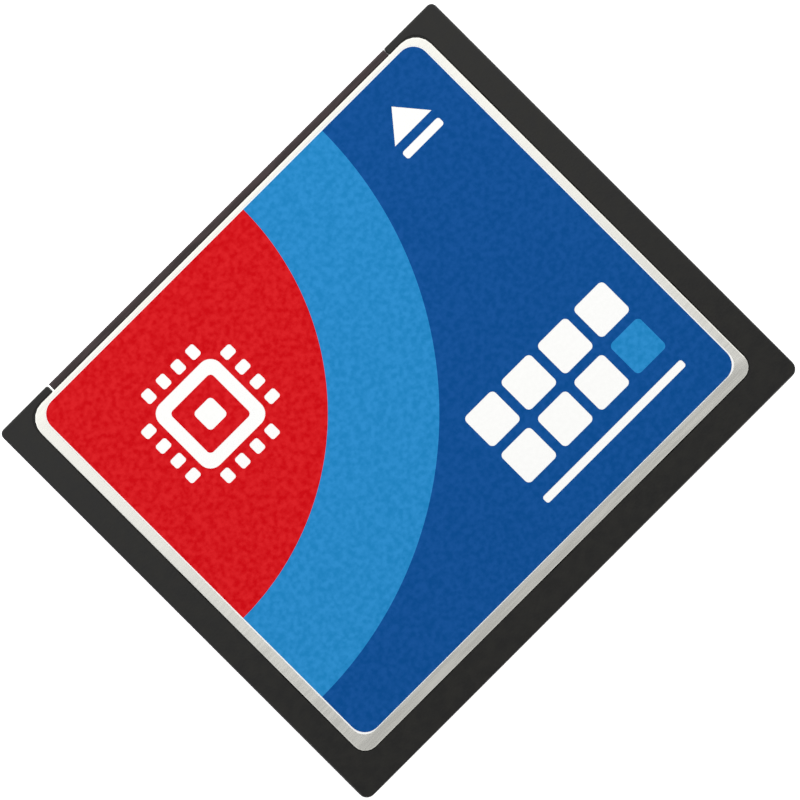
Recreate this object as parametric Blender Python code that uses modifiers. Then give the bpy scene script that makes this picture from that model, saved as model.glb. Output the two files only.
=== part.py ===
"""Compact flash card, Type I: two moulded frame halves, two steel covers, a label, a circuit board with
its chips, and a fifty way socket connector with one contact in each socket.

Metres, +Z up out of the label side, +Y towards the connector, +X to the right of the upright label.
The origin is under the middle of the card, on the plane that its rear lip stands on.
"""

import math

import bmesh
import bpy
from mathutils import Matrix

# Card body, the published Type I format
CARD_WIDTH = 0.0428
CARD_LENGTH = 0.0364
CARD_THICKNESS = 0.0033
CARD_FRONT_CORNER = 0.00045
CARD_REAR_CORNER = 0.00068
EDGE_ROUND = 0.00015
CORNER_STEPS = 5

# Lip for a fingernail, across the rear of the underside
LIP_FROM_SIDE = 0.00057
LIP_DEPTH = 0.00076
LIP_HEIGHT = 0.00063
LIP_ROUND = 0.00015

# Guide grooves in the long way of the side edges, of two heights so that the card goes in one way only
GROOVE_LENGTH = 0.02578
GROOVE_DEPTH = 0.00101
GROOVE_HEIGHT_LEFT = 0.00099
GROOVE_HEIGHT_RIGHT = 0.0016
GROOVE_LEAD_IN = 0.0008
GROOVE_FLARE = 0.00025

# Frame walls, between the card's outline and the hollow for the circuit board
SIDE_RAIL = 0.0031
REAR_RAIL = 0.0033
POST_WIDTH = 0.0047
POST_LENGTH = 0.0022
WELD_LINE = 0.00002

# Pegs of the lower half in holes of the upper half
PEG_RADIUS = 0.00045
PEG_LENGTH = 0.0008
PEG_FROM_SIDE = 0.00165
PEG_SIDES = 12

# Steel covers. They are pressed with a crown: from the middle's level the face falls by COVER_CROWN over
# COVER_CROWN_WIDTH, next to the bent edge
SHEET = 0.0002
COVER_PROUD = 0.00008
COVER_SIDE_MARGIN = 0.0021
COVER_FRONT_MARGIN = 0.00057
COVER_REAR_MARGIN = 0.00228
COVER_FRONT_CORNER = 0.00152
COVER_REAR_CORNER = 0.00108
COVER_BEND = 0.00012
COVER_CROWN = 0.000025
COVER_CROWN_WIDTH = 0.00075
TAB_WIDTH = 0.003
TAB_REACH = 0.0009
TAB_SET_IN = 0.00002
SIDE_TAB_SPACING = 0.01
REAR_TAB_SPACING = 0.012
TABS_A_SIDE = 3

# Label, in a shallow recess of the upper cover
LABEL_THICKNESS = 0.00007
LABEL_BELOW_FACE = 0.00002
LABEL_GLUE = 0.00001
LABEL_LEFT_MARGIN = 0.0008
LABEL_RIGHT_MARGIN = 0.00062
LABEL_FRONT_MARGIN = 0.00035
LABEL_REAR_MARGIN = 0.00087
LABEL_FRONT_CORNER = 0.00133
LABEL_REAR_CORNER = 0.001

# Connector housing. As many columns of sockets as fit between its end walls, 25 on the real card
PITCH = 0.00127
ROW_SPACING = 0.00127
END_WALL = 0.00085
HOUSING_DEPTH = 0.0056
HOUSING_SET_BACK = 0.00002
HOUSING_BELOW_FRAME = 0.00004
HOUSING_EDGE = 0.00012
SOCKET_WIDTH = 0.00062
SOCKET_HEIGHT = 0.00096
FRONT_WALL = 0.00057
MOUTH_WIDTH = 0.0005
FUNNEL_WIDTH = 0.0009
FUNNEL_DEPTH = 0.00022
EAR_LENGTH = 0.0025
EAR_HEIGHT = 0.0012

# Socket contacts, forks cut from sheet with a tail soldered to the board
CONTACT_THICKNESS = 0.00042
CONTACT_HEIGHT = 0.00088
CONTACT_START = 0.0004
CONTACT_BASE = 0.0016
PRONG_ROOT = 0.00019
PINCH_GAP = 0.00036
PINCH_FROM_TIP = 0.00045
TIP_GAP = 0.00054
TIP_BEHIND_WALL = 0.0001
TAIL_THICKNESS = 0.00018
TAIL_BEND_START = 0.0003
TAIL_BEND_LENGTH = 0.00032
TAIL_LENGTH = 0.0016

# Circuit board
BOARD_THICKNESS = 0.0005
BOARD_BEHIND_HOUSING = 0.0003
BOARD_CLEARANCE = 0.0002
BOARD_CORNER = 0.0008
TOOLING_HOLE = 0.0005
TOOLING_FROM_EDGE = 0.0026
LEDGE_REACH = 0.0014
LEDGE_WIDTH = 0.002

# Chips and other parts on the board. As many leads as fit stand along a side of a chip: 24 along each end
# of the real memory chip and 16 along each side of the real controller. A lead's shoulder and ankle are
# shares of how far it reaches from the body
SOLDER = 0.00002
STANDOFF = 0.00008
LEAD_THICKNESS = 0.00013
LEAD_SHOULDER = 0.35
LEAD_ANKLE = 0.55
MEMORY_WIDTH = 0.0184
MEMORY_LENGTH = 0.012
MEMORY_HEIGHT = 0.00098
MEMORY_PITCH = 0.0005
MEMORY_LEADS_FROM_CORNER = 0.0001
MEMORY_LEAD_WIDTH = 0.0002
MEMORY_LEAD_REACH = 0.0008
MEMORY_FROM_LEFT = 0.0042
MEMORY_FROM_REAR = 0.0036
CONTROLLER_SIDE = 0.014
CONTROLLER_HEIGHT = 0.00098
CONTROLLER_PITCH = 0.0008
CONTROLLER_LEADS_FROM_CORNER = 0.0006
CONTROLLER_LEAD_WIDTH = 0.00034
CONTROLLER_LEAD_REACH = 0.001
CONTROLLER_FROM_RIGHT = 0.0026
CONTROLLER_FROM_REAR = 0.0018
CHIP_CORNER = 0.0003
CHIP_EDGE = 0.00012
PIN_ONE_RADIUS = 0.0005
PIN_ONE_DEPTH = 0.00006
PIN_ONE_FROM_EDGE = 0.0012
CAPACITOR_LENGTH = 0.0035
CAPACITOR_WIDTH = 0.0028
CAPACITOR_HEIGHT = 0.00105
CAPACITOR_FROM_RIGHT = 0.004
CAPACITOR_FROM_FRONT = 0.0024
CERAMIC_LENGTH = 0.0016
CERAMIC_WIDTH = 0.0008
CERAMIC_HEIGHT = 0.0007
CERAMIC_SPACING = 0.0042
CERAMIC_FROM_LEFT = 0.0034
CERAMIC_FROM_FRONT = 0.0036
CERAMICS_A_ROW = 4

# Clearances between pieces. The card is only 3.3 mm thick, so they are hundredths of a millimetre.
# The cover's seat is rounded less than the cover at its front corners, by COVER_CORNER_RELIEF. The housing
# sits nearer to the right post, so the slits at its ends are of two widths. PAST and JUST_PAST are how far
# a cutter or a joined shape runs past the face that it meets
SEAT = 0.00002
COVER_CLEARANCE = 0.00006
COVER_CORNER_RELIEF = 0.00022
SLIT_LEFT = 0.0002
SLIT_RIGHT = 0.0001
EAR_CLEARANCE = 0.00005
EAR_FROM_WALL = 0.0004
LABEL_CLEARANCE = 0.00003
PEG_CLEARANCE = 0.00004
PAST = 0.0002
JUST_PAST = 0.00002

# Places worked out from the sizes above. Heights with no name of their own are measured from the
# middle of the card's thickness, so that both halves can share them
MIDDLE = LIP_HEIGHT + CARD_THICKNESS / 2
SIDE = CARD_WIDTH / 2
FRONT = CARD_LENGTH / 2
REAR = -CARD_LENGTH / 2
OUTSIDE = CARD_THICKNESS / 2
FRAME_FACE = OUTSIDE - COVER_PROUD
COVER_UNDER = OUTSIDE - SHEET
COVER_LEDGE = COVER_UNDER - SEAT
COVER_HALF = SIDE - COVER_SIDE_MARGIN
COVER_FRONT = FRONT - COVER_FRONT_MARGIN
COVER_REAR = REAR + COVER_REAR_MARGIN
COVER_LENGTH = COVER_FRONT - COVER_REAR
COVER_MIDDLE_Y = (COVER_FRONT + COVER_REAR) / 2
LABEL_TOP = OUTSIDE - LABEL_BELOW_FACE
LABEL_UNDER = LABEL_TOP - LABEL_THICKNESS
LABEL_RECESS = LABEL_UNDER - LABEL_GLUE
LABEL_LEFT = -COVER_HALF + LABEL_LEFT_MARGIN
LABEL_RIGHT = COVER_HALF - LABEL_RIGHT_MARGIN
LABEL_WIDTH = LABEL_RIGHT - LABEL_LEFT
LABEL_MIDDLE_X = (LABEL_LEFT + LABEL_RIGHT) / 2
LABEL_FRONT = COVER_FRONT - LABEL_FRONT_MARGIN
LABEL_REAR = COVER_REAR + LABEL_REAR_MARGIN
LABEL_LENGTH = LABEL_FRONT - LABEL_REAR
LABEL_MIDDLE_Y = (LABEL_FRONT + LABEL_REAR) / 2
HOLLOW_SIDE = SIDE - SIDE_RAIL
HOLLOW_REAR = REAR + REAR_RAIL
POST_BACK = FRONT - POST_LENGTH
OPENING_SIDE = SIDE - POST_WIDTH
HOUSING_LEFT = -OPENING_SIDE + SLIT_LEFT
HOUSING_RIGHT = OPENING_SIDE - SLIT_RIGHT
SOCKETS_SIDE = min(-HOUSING_LEFT, HOUSING_RIGHT) - END_WALL - SOCKET_WIDTH / 2
COLUMNS = 1 + math.floor(2 * SOCKETS_SIDE / PITCH)
HOUSING_FRONT = FRONT - HOUSING_SET_BACK
HOUSING_BACK = HOUSING_FRONT - HOUSING_DEPTH
HOUSING_FACE = FRAME_FACE - HOUSING_BELOW_FRAME
SOCKET_FRONT = HOUSING_FRONT - FRONT_WALL
EAR_FRONT = POST_BACK - EAR_CLEARANCE
EAR_BACK = EAR_FRONT - EAR_LENGTH
EAR_SIDE = HOLLOW_SIDE - EAR_FROM_WALL
BOARD_FACE = BOARD_THICKNESS / 2
BOARD_SIDE = HOLLOW_SIDE - BOARD_CLEARANCE
BOARD_REAR = HOLLOW_REAR + BOARD_CLEARANCE
BOARD_FRONT = HOUSING_BACK - BOARD_BEHIND_HOUSING
MOUNT_HEIGHT = BOARD_FACE + SOLDER
PEG_X = SIDE - PEG_FROM_SIDE
PEG_YS = (COVER_MIDDLE_Y - SIDE_TAB_SPACING / 2, COVER_MIDDLE_Y + SIDE_TAB_SPACING / 2)


def empty_scene():
    for old in list(bpy.data.objects):
        bpy.data.objects.remove(old, do_unlink=True)


def new_collection(name):
    made = bpy.data.collections.new(name)
    bpy.context.scene.collection.children.link(made)
    return made


def new_material(name, colour, roughness, metallic=0.0):
    made = bpy.data.materials.new(name)
    made.use_nodes = True
    shader = made.node_tree.nodes["Principled BSDF"]
    shader.inputs["Base Color"].default_value = (*colour, 1.0)
    shader.inputs["Roughness"].default_value = roughness
    shader.inputs["Metallic"].default_value = metallic
    return made


def keep_as_part(part, material):
    """Puts a finished piece in the card's collection, with its material and its parent."""
    CARD.objects.link(part)
    part.parent = ORIGIN
    part.data.materials.append(material)
    return part


def keep_as_tool(tool):
    """Puts a cutter, or a shape that a Boolean joins on, out of sight."""
    TOOLS.objects.link(tool)
    tool.hide_render = True
    tool.display_type = "WIRE"
    return tool


def object_from(bm, name, location=(0.0, 0.0, 0.0)):
    mesh = bpy.data.meshes.new(name)
    bm.to_mesh(mesh)
    bm.free()
    made = bpy.data.objects.new(name, mesh)
    made.location = location
    return made


def add_block(bm, x, y, z):
    """A primitive cube stretched between two values along each axis."""
    made = bmesh.ops.create_cube(bm, size=1.0)
    size = (x[1] - x[0], y[1] - y[0], z[1] - z[0])
    centre = ((x[0] + x[1]) / 2, (y[0] + y[1]) / 2, (z[0] + z[1]) / 2)
    bmesh.ops.scale(bm, vec=size, verts=made["verts"])
    bmesh.ops.translate(bm, vec=centre, verts=made["verts"])
    return made["verts"]


def blocks(name, spans):
    """One mesh of separate blocks, each given as its spans along X, Y and Z."""
    bm = bmesh.new()
    for x, y, z in spans:
        add_block(bm, x, y, z)
    return object_from(bm, name)


def upright(edge):
    first, second = (vert.co for vert in edge.verts)
    return abs(first.z - second.z) > max(abs(first.x - second.x), abs(first.y - second.y))


def slab(
    name, width, length, span, corners, centre=(0.0, 0.0), rounded=(), rim=0.0, rim_steps=2
):
    """A flat block over span along Z, with round corners and, on the faces named in rounded, a round rim.

    corners gives the radius of the rear and of the front corners.
    """
    thickness = span[1] - span[0]
    bm = bmesh.new()
    add_block(bm, (-width / 2, width / 2), (-length / 2, length / 2), (-thickness / 2, thickness / 2))
    for end, radius in zip((-1, 1), corners):
        edges = [
            edge
            for edge in bm.edges
            if upright(edge) and all(end * vert.co.y > length * 0.49 for vert in edge.verts)
        ]
        bmesh.ops.bevel(bm, geom=edges, offset=radius, segments=CORNER_STEPS, profile=0.5, affect="EDGES")
    for face_side in rounded:
        edges = [
            edge
            for edge in bm.edges
            if all(face_side * vert.co.z > thickness * 0.49 for vert in edge.verts)
        ]
        bmesh.ops.bevel(bm, geom=edges, offset=rim, segments=rim_steps, profile=0.5, affect="EDGES")
    return object_from(bm, name, (*centre, (span[0] + span[1]) / 2))


def cylinders(name, centres, radius, span, sides):
    """One mesh of separate upright cylinders over span along Z."""
    bm = bmesh.new()
    for x, y in centres:
        made = bmesh.ops.create_cone(
            bm, cap_ends=True, segments=sides, radius1=radius, radius2=radius, depth=span[1] - span[0]
        )
        bmesh.ops.translate(bm, vec=(x, y, (span[0] + span[1]) / 2), verts=made["verts"])
    return object_from(bm, name)


def outline_plate(name, points, thickness):
    """A flat outline in its own XY plane, filled and given thickness along its Z, as a closed mesh."""
    curve = bpy.data.curves.new(name, "CURVE")
    curve.dimensions = "2D"
    curve.fill_mode = "BOTH"
    curve.extrude = thickness / 2
    spline = curve.splines.new("POLY")
    spline.points.add(len(points) - 1)
    for point, (x, y) in zip(spline.points, points):
        point.co = (x, y, 0.0, 1.0)
    spline.use_cyclic_u = True
    drawn = bpy.data.objects.new(name, curve)
    bpy.context.scene.collection.objects.link(drawn)
    bpy.context.view_layer.update()
    evaluated = drawn.evaluated_get(bpy.context.evaluated_depsgraph_get())
    mesh = bpy.data.meshes.new_from_object(evaluated)
    bm = bmesh.new()
    bm.from_mesh(mesh)
    bmesh.ops.remove_doubles(bm, verts=bm.verts, dist=0.000001)
    bm.to_mesh(mesh)
    bm.free()
    placed = drawn.matrix_world.copy()
    bpy.data.objects.remove(drawn, do_unlink=True)
    bpy.data.curves.remove(curve)
    mesh.name = name
    made = bpy.data.objects.new(name, mesh)
    made.matrix_world = placed
    return made


def boolean(target, tool, operation):
    keep_as_tool(tool)
    step = target.modifiers.new(tool.name, "BOOLEAN")
    step.operation = operation
    step.solver = "EXACT"
    step.object = tool


def cut(target, tool):
    boolean(target, tool, "DIFFERENCE")


def join(target, tool):
    boolean(target, tool, "UNION")


def level(half, near, far):
    """The span along Z from near to far from the middle, in the upper (1) or lower (-1) half."""
    return tuple(sorted((MIDDLE + half * near, MIDDLE + half * far)))


def tab_places():
    """The centre of each cover tab, and whether it is on a side (True) or at the rear (False)."""
    steps = [step - (TABS_A_SIDE - 1) / 2 for step in range(TABS_A_SIDE)]
    places = [(step * REAR_TAB_SPACING, COVER_REAR, False) for step in steps]
    for hand in (-1, 1):
        places += [(hand * COVER_HALF, COVER_MIDDLE_Y + step * SIDE_TAB_SPACING, True) for step in steps]
    return places


def tab_blocks(name, span, grow):
    """A block for each cover tab, or for its pocket when grow is its clearance."""
    spans = []
    for x, y, on_side in tab_places():
        half_width = TAB_WIDTH / 2 + grow
        outer = TAB_SET_IN - grow
        inner = TAB_SET_IN + SHEET + grow
        if on_side:
            hand = 1 if x > 0 else -1
            across = tuple(sorted((x - hand * outer, x - hand * inner)))
            spans.append((across, (y - half_width, y + half_width), span))
        else:
            spans.append(((x - half_width, x + half_width), (y + outer, y + inner), span))
    return blocks(name, spans)


def ledge_blocks(name, half):
    """Ledges of a frame half that hold the board, and seats that hold the housing's ears."""
    spans = []
    inner = HOLLOW_SIDE - LEDGE_REACH
    board_middle = (BOARD_REAR + BOARD_FRONT) / 2
    starts = (HOLLOW_REAR - PAST, board_middle - LEDGE_WIDTH / 2, BOARD_FRONT - LEDGE_WIDTH)
    for hand in (-1, 1):
        across = tuple(sorted((hand * inner, hand * (HOLLOW_SIDE + PAST))))
        for start in starts:
            along = (start, start + LEDGE_WIDTH)
            spans.append((across, along, level(half, BOARD_FACE + SEAT, COVER_LEDGE)))
        seat_x = tuple(sorted((hand * OPENING_SIDE, hand * (HOLLOW_SIDE + PAST))))
        seat_y = (EAR_BACK, POST_BACK + PAST)
        spans.append((seat_x, seat_y, level(half, EAR_HEIGHT / 2 + SEAT, COVER_LEDGE)))
    return blocks(name, spans)


def groove_cutter(name, start, flare):
    """A block along each side for the guide grooves, from start to past the front, wider there by flare."""
    bm = bmesh.new()
    for hand, height in ((-1, GROOVE_HEIGHT_LEFT), (1, GROOVE_HEIGHT_RIGHT)):
        across = tuple(sorted((hand * (SIDE - GROOVE_DEPTH), hand * (SIDE + PAST))))
        verts = add_block(bm, across, (start, FRONT + PAST), (MIDDLE - height / 2, MIDDLE + height / 2))
        for vert in verts:
            if vert.co.y > FRONT:
                vert.co.z += math.copysign(flare, vert.co.z - MIDDLE)
    return object_from(bm, name)


def frame_half(name, half):
    """One moulded half of the frame, with the hollow, the cover's seat and the grooves cut from it."""
    span = level(half, WELD_LINE / 2, FRAME_FACE)
    through = level(half, -PAST, OUTSIDE + PAST)
    corners = (CARD_REAR_CORNER, CARD_FRONT_CORNER)
    body = slab(name, CARD_WIDTH, CARD_LENGTH, span, corners, rounded=(half,), rim=EDGE_ROUND)
    hollow = ((-HOLLOW_SIDE, HOLLOW_SIDE), (HOLLOW_REAR, POST_BACK), through)
    cut(body, blocks(name + "_hollow", [hollow]))
    opening = ((-OPENING_SIDE, OPENING_SIDE), (POST_BACK - PAST, FRONT + PAST), through)
    cut(body, blocks(name + "_opening", [opening]))
    join(body, ledge_blocks(name + "_ledges", half))
    seat = slab(
        name + "_cover_seat",
        2 * (COVER_HALF + COVER_CLEARANCE),
        COVER_LENGTH + 2 * COVER_CLEARANCE,
        level(half, COVER_LEDGE, OUTSIDE + PAST),
        (
            COVER_REAR_CORNER + COVER_CLEARANCE,
            COVER_FRONT_CORNER + COVER_CLEARANCE - COVER_CORNER_RELIEF,
        ),
        (0.0, COVER_MIDDLE_Y),
    )
    cut(body, seat)
    pocket = level(half, COVER_UNDER - TAB_REACH - SEAT, COVER_UNDER)
    cut(body, tab_blocks(name + "_tab_pockets", pocket, COVER_CLEARANCE))
    cut(body, groove_cutter(name + "_grooves", FRONT - GROOVE_LENGTH, 0.0))
    cut(body, groove_cutter(name + "_groove_mouths", FRONT - GROOVE_LEAD_IN, GROOVE_FLARE))
    return body


def peg_centres():
    return [(hand * PEG_X, y) for hand in (-1, 1) for y in PEG_YS]


def top_frame(material):
    frame = frame_half("top_frame", 1)
    holes = level(1, -PAST, PEG_LENGTH + PEG_CLEARANCE)
    radius = PEG_RADIUS + PEG_CLEARANCE
    cut(frame, cylinders("top_frame_peg_holes", peg_centres(), radius, holes, PEG_SIDES))
    return keep_as_part(frame, material)


def bottom_frame(material):
    frame = frame_half("bottom_frame", -1)
    pegs = level(1, -PAST, PEG_LENGTH)
    join(frame, cylinders("bottom_frame_pegs", peg_centres(), PEG_RADIUS, pegs, PEG_SIDES))
    join(frame, rear_lip("bottom_frame_lip"))
    return keep_as_part(frame, material)


def rear_lip(name):
    """A bar across the rear of the underside, round along the edges that a fingernail meets."""
    bm = bmesh.new()
    rear = REAR + EDGE_ROUND
    add_block(
        bm,
        (-SIDE + LIP_FROM_SIDE, SIDE - LIP_FROM_SIDE),
        (rear, rear + LIP_DEPTH),
        (0.0, MIDDLE - FRAME_FACE + PAST),
    )
    lower = [edge for edge in bm.edges if all(vert.co.z < LIP_HEIGHT / 2 for vert in edge.verts)]
    bmesh.ops.bevel(bm, geom=lower, offset=LIP_ROUND, segments=2, profile=0.5, affect="EDGES")
    return object_from(bm, name)


def raise_middle(sheet, half):
    """Raises the middle of a sheet's outer face, so that the face slopes down to the bent edge."""
    bm = bmesh.new()
    bm.from_mesh(sheet.data)
    face = max(bm.faces, key=lambda each: half * each.normal.z * each.calc_area())
    bmesh.ops.inset_region(bm, faces=[face], thickness=COVER_CROWN_WIDTH, depth=COVER_CROWN)
    bm.to_mesh(sheet.data)
    bm.free()


def cover(name, half, material):
    """A steel cover: a crowned sheet with a bent edge, and tabs that go down into the frame's pockets."""
    sheet = slab(
        name,
        2 * COVER_HALF,
        COVER_LENGTH,
        level(half, COVER_UNDER, OUTSIDE - COVER_CROWN),
        (COVER_REAR_CORNER, COVER_FRONT_CORNER),
        (0.0, COVER_MIDDLE_Y),
        rounded=(half,),
        rim=COVER_BEND,
        rim_steps=3,
    )
    raise_middle(sheet, half)
    tabs = level(half, COVER_UNDER - TAB_REACH, COVER_UNDER + SHEET / 2)
    join(sheet, tab_blocks(name + "_tabs", tabs, 0.0))
    return keep_as_part(sheet, material)


def top_cover(material):
    sheet = cover("top_cover_plate", 1, material)
    recess = slab(
        "top_cover_label_recess",
        LABEL_WIDTH + 2 * LABEL_CLEARANCE,
        LABEL_LENGTH + 2 * LABEL_CLEARANCE,
        level(1, LABEL_RECESS, OUTSIDE + PAST),
        (LABEL_REAR_CORNER + LABEL_CLEARANCE, LABEL_FRONT_CORNER + LABEL_CLEARANCE),
        (LABEL_MIDDLE_X, LABEL_MIDDLE_Y),
    )
    cut(sheet, recess)
    return sheet


def front_label(material):
    film = slab(
        "front_label",
        LABEL_WIDTH,
        LABEL_LENGTH,
        level(1, LABEL_UNDER, LABEL_TOP),
        (LABEL_REAR_CORNER, LABEL_FRONT_CORNER),
        (LABEL_MIDDLE_X, LABEL_MIDDLE_Y),
    )
    return keep_as_part(film, material)


def socket_places():
    """The centre of every socket across the card and in height, the upper row first."""
    return [
        ((column - (COLUMNS - 1) / 2) * PITCH, row * ROW_SPACING / 2)
        for row in (1, -1)
        for column in range(COLUMNS)
    ]


def square_prisms(name, width, y_span, front_width=None):
    """A square peg along Y at every socket, which may widen towards the front, from a four sided cone."""
    bm = bmesh.new()
    half_diagonal = width / math.sqrt(2)
    front_diagonal = (front_width or width) / math.sqrt(2)
    for x, z in socket_places():
        made = bmesh.ops.create_cone(
            bm,
            cap_ends=True,
            segments=4,
            radius1=front_diagonal,
            radius2=half_diagonal,
            depth=y_span[1] - y_span[0],
        )
        turn = Matrix.Rotation(math.radians(45), 3, "Z")
        lie = Matrix.Rotation(math.radians(90), 3, "X")
        bmesh.ops.rotate(bm, verts=made["verts"], cent=(0, 0, 0), matrix=lie @ turn)
        bmesh.ops.translate(bm, vec=(x, (y_span[0] + y_span[1]) / 2, MIDDLE + z), verts=made["verts"])
    return object_from(bm, name)


def connector_housing(material):
    """A moulded block with fifty sockets, lower behind its front edge where the covers lie on it."""
    bm = bmesh.new()
    add_block(
        bm,
        (HOUSING_LEFT, HOUSING_RIGHT),
        (HOUSING_BACK, HOUSING_FRONT),
        (MIDDLE - HOUSING_FACE, MIDDLE + HOUSING_FACE),
    )
    front_edges = [
        edge
        for edge in bm.edges
        if all(vert.co.y > SOCKET_FRONT for vert in edge.verts) and not upright(edge)
    ]
    bmesh.ops.bevel(bm, geom=front_edges, offset=HOUSING_EDGE, segments=1, affect="EDGES")
    housing = object_from(bm, "connector_housing")
    across = (HOUSING_LEFT - PAST, HOUSING_RIGHT + PAST)
    behind = (HOUSING_BACK - PAST, COVER_FRONT + COVER_CLEARANCE)
    relief = [(across, behind, level(half, COVER_LEDGE, OUTSIDE + PAST)) for half in (1, -1)]
    cut(housing, blocks("housing_cover_relief", relief))
    ears = [
        (reach, (EAR_BACK, EAR_FRONT), (MIDDLE - EAR_HEIGHT / 2, MIDDLE + EAR_HEIGHT / 2))
        for reach in ((-EAR_SIDE, HOUSING_LEFT + PAST), (HOUSING_RIGHT - PAST, EAR_SIDE))
    ]
    join(housing, blocks("housing_ears", ears))
    sockets = [
        (
            (x - SOCKET_WIDTH / 2, x + SOCKET_WIDTH / 2),
            (HOUSING_BACK - PAST, SOCKET_FRONT),
            (MIDDLE + z - SOCKET_HEIGHT / 2, MIDDLE + z + SOCKET_HEIGHT / 2),
        )
        for x, z in socket_places()
    ]
    cut(housing, blocks("housing_sockets", sockets))
    cut(housing, square_prisms("housing_mouths", MOUTH_WIDTH, (SOCKET_FRONT - PAST, HOUSING_FRONT + PAST)))
    funnel = (HOUSING_FRONT - FUNNEL_DEPTH, HOUSING_FRONT + JUST_PAST)
    spread = (FUNNEL_WIDTH - MOUTH_WIDTH) * (1 + JUST_PAST / FUNNEL_DEPTH)
    cut(housing, square_prisms("housing_funnels", MOUTH_WIDTH, funnel, MOUTH_WIDTH + spread))
    return keep_as_part(housing, material)


def contact_outline():
    """The fork seen from the side: x from the housing's back face forwards, y up from the row's middle."""
    tip = SOCKET_FRONT - HOUSING_BACK - TIP_BEHIND_WALL
    outer = CONTACT_HEIGHT / 2
    root = CONTACT_START + CONTACT_BASE
    root_gap = outer - PRONG_ROOT
    foot = MOUNT_HEIGHT - ROW_SPACING / 2
    half_tail = TAIL_THICKNESS / 2
    bend_end = -TAIL_BEND_START - TAIL_BEND_LENGTH
    prong = [
        (tip, outer),
        (tip, TIP_GAP / 2),
        (tip - PINCH_FROM_TIP, PINCH_GAP / 2),
        (root, root_gap),
    ]
    fork = [(x, -y) for x, y in prong] + [(x, y) for x, y in reversed(prong)]
    tail = [
        (CONTACT_START, outer),
        (CONTACT_START, half_tail),
        (-TAIL_BEND_START, half_tail),
        (bend_end, foot + TAIL_THICKNESS),
        (-TAIL_LENGTH, foot + TAIL_THICKNESS),
        (-TAIL_LENGTH, foot),
        (bend_end - half_tail, foot),
        (-TAIL_BEND_START - half_tail, -half_tail),
        (CONTACT_START, -half_tail),
        (CONTACT_START, -outer),
    ]
    return fork + tail


def contacts(material):
    """One contact for each socket. Those of the lower row are the same piece turned over."""
    pattern = outline_plate("contact", contact_outline(), CONTACT_THICKNESS)
    pattern.data.materials.append(material)
    for number, (x, z) in enumerate(socket_places(), start=1):
        contact = bpy.data.objects.new(f"contact_{number:02d}", pattern.data)
        contact.location = (x, HOUSING_BACK, MIDDLE + z)
        turned = 90 if z > 0 else -90
        contact.rotation_euler = (math.radians(turned), 0.0, math.radians(90))
        contact.parent = ORIGIN
        CARD.objects.link(contact)
    bpy.data.objects.remove(pattern, do_unlink=True)


def circuit_board(material):
    """The board, with tooling holes and a row of small ceramic capacitors soldered to each face."""
    length = BOARD_FRONT - BOARD_REAR
    middle_y = (BOARD_FRONT + BOARD_REAR) / 2
    faces = level(1, -BOARD_FACE, BOARD_FACE)
    corners = (BOARD_CORNER, BOARD_CORNER)
    board = slab("circuit_board", 2 * BOARD_SIDE, length, faces, corners, (0.0, middle_y))
    ceramics = []
    y = BOARD_FRONT - CERAMIC_FROM_FRONT
    for half in (1, -1):
        for step in range(CERAMICS_A_ROW):
            x = -BOARD_SIDE + CERAMIC_FROM_LEFT + step * CERAMIC_SPACING
            ceramics.append(
                (
                    (x - CERAMIC_LENGTH / 2, x + CERAMIC_LENGTH / 2),
                    (y - CERAMIC_WIDTH / 2, y + CERAMIC_WIDTH / 2),
                    level(half, BOARD_FACE / 2, BOARD_FACE + CERAMIC_HEIGHT),
                )
            )
    join(board, blocks("board_ceramics", ceramics))
    hole_x = BOARD_SIDE - TOOLING_FROM_EDGE
    hole_y = BOARD_FRONT - TOOLING_FROM_EDGE
    centres = [(-hole_x, hole_y), (hole_x, hole_y)]
    cut(board, cylinders("board_holes", centres, TOOLING_HOLE, level(1, -OUTSIDE, OUTSIDE), PEG_SIDES))
    return keep_as_part(board, material)


def lead_row(name, side_length, from_corner, pitch, lead_width, body_half, reach, height):
    """The leads of two opposite sides of a chip, along X, bent down from its middle to the board."""
    count = 1 + math.floor((side_length - lead_width - 2 * from_corner) / pitch)
    from_body = body_half - reach / 2
    shoulder = body_half + reach * LEAD_SHOULDER
    ankle = body_half + reach * LEAD_ANKLE
    tip = body_half + reach
    leave = STANDOFF + height / 2
    points = [
        (from_body, leave),
        (shoulder, leave),
        (ankle, 0.0),
        (tip, 0.0),
        (tip, LEAD_THICKNESS),
        (ankle + LEAD_THICKNESS, LEAD_THICKNESS),
        (shoulder + LEAD_THICKNESS, leave + LEAD_THICKNESS),
        (from_body, leave + LEAD_THICKNESS),
    ]
    lead = outline_plate(name, points, lead_width)
    bm = bmesh.new()
    bm.from_mesh(lead.data)
    bmesh.ops.rotate(bm, verts=bm.verts, cent=(0, 0, 0), matrix=Matrix.Rotation(math.radians(90), 3, "X"))
    bmesh.ops.translate(bm, vec=(0.0, -(count - 1) * pitch / 2, 0.0), verts=bm.verts)
    bm.to_mesh(lead.data)
    bm.free()
    row = lead.modifiers.new("row", "ARRAY")
    row.count = count
    row.use_relative_offset = False
    row.use_constant_offset = True
    row.constant_offset_displace = (0.0, pitch, 0.0)
    both = lead.modifiers.new("both_sides", "MIRROR")
    both.use_axis = (True, False, False)
    both.use_mirror_merge = False
    both.merge_threshold = 0.00001
    return lead


def put_on_board(piece, half, x, y, turn=0.0):
    """Places what was drawn upright over the board's face onto its upper (1) or lower (-1) face."""
    over = 0.0 if half > 0 else math.radians(180)
    piece.location = (x, y, MIDDLE + half * MOUNT_HEIGHT)
    piece.rotation_euler = (over, 0.0, turn)
    return piece


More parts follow.
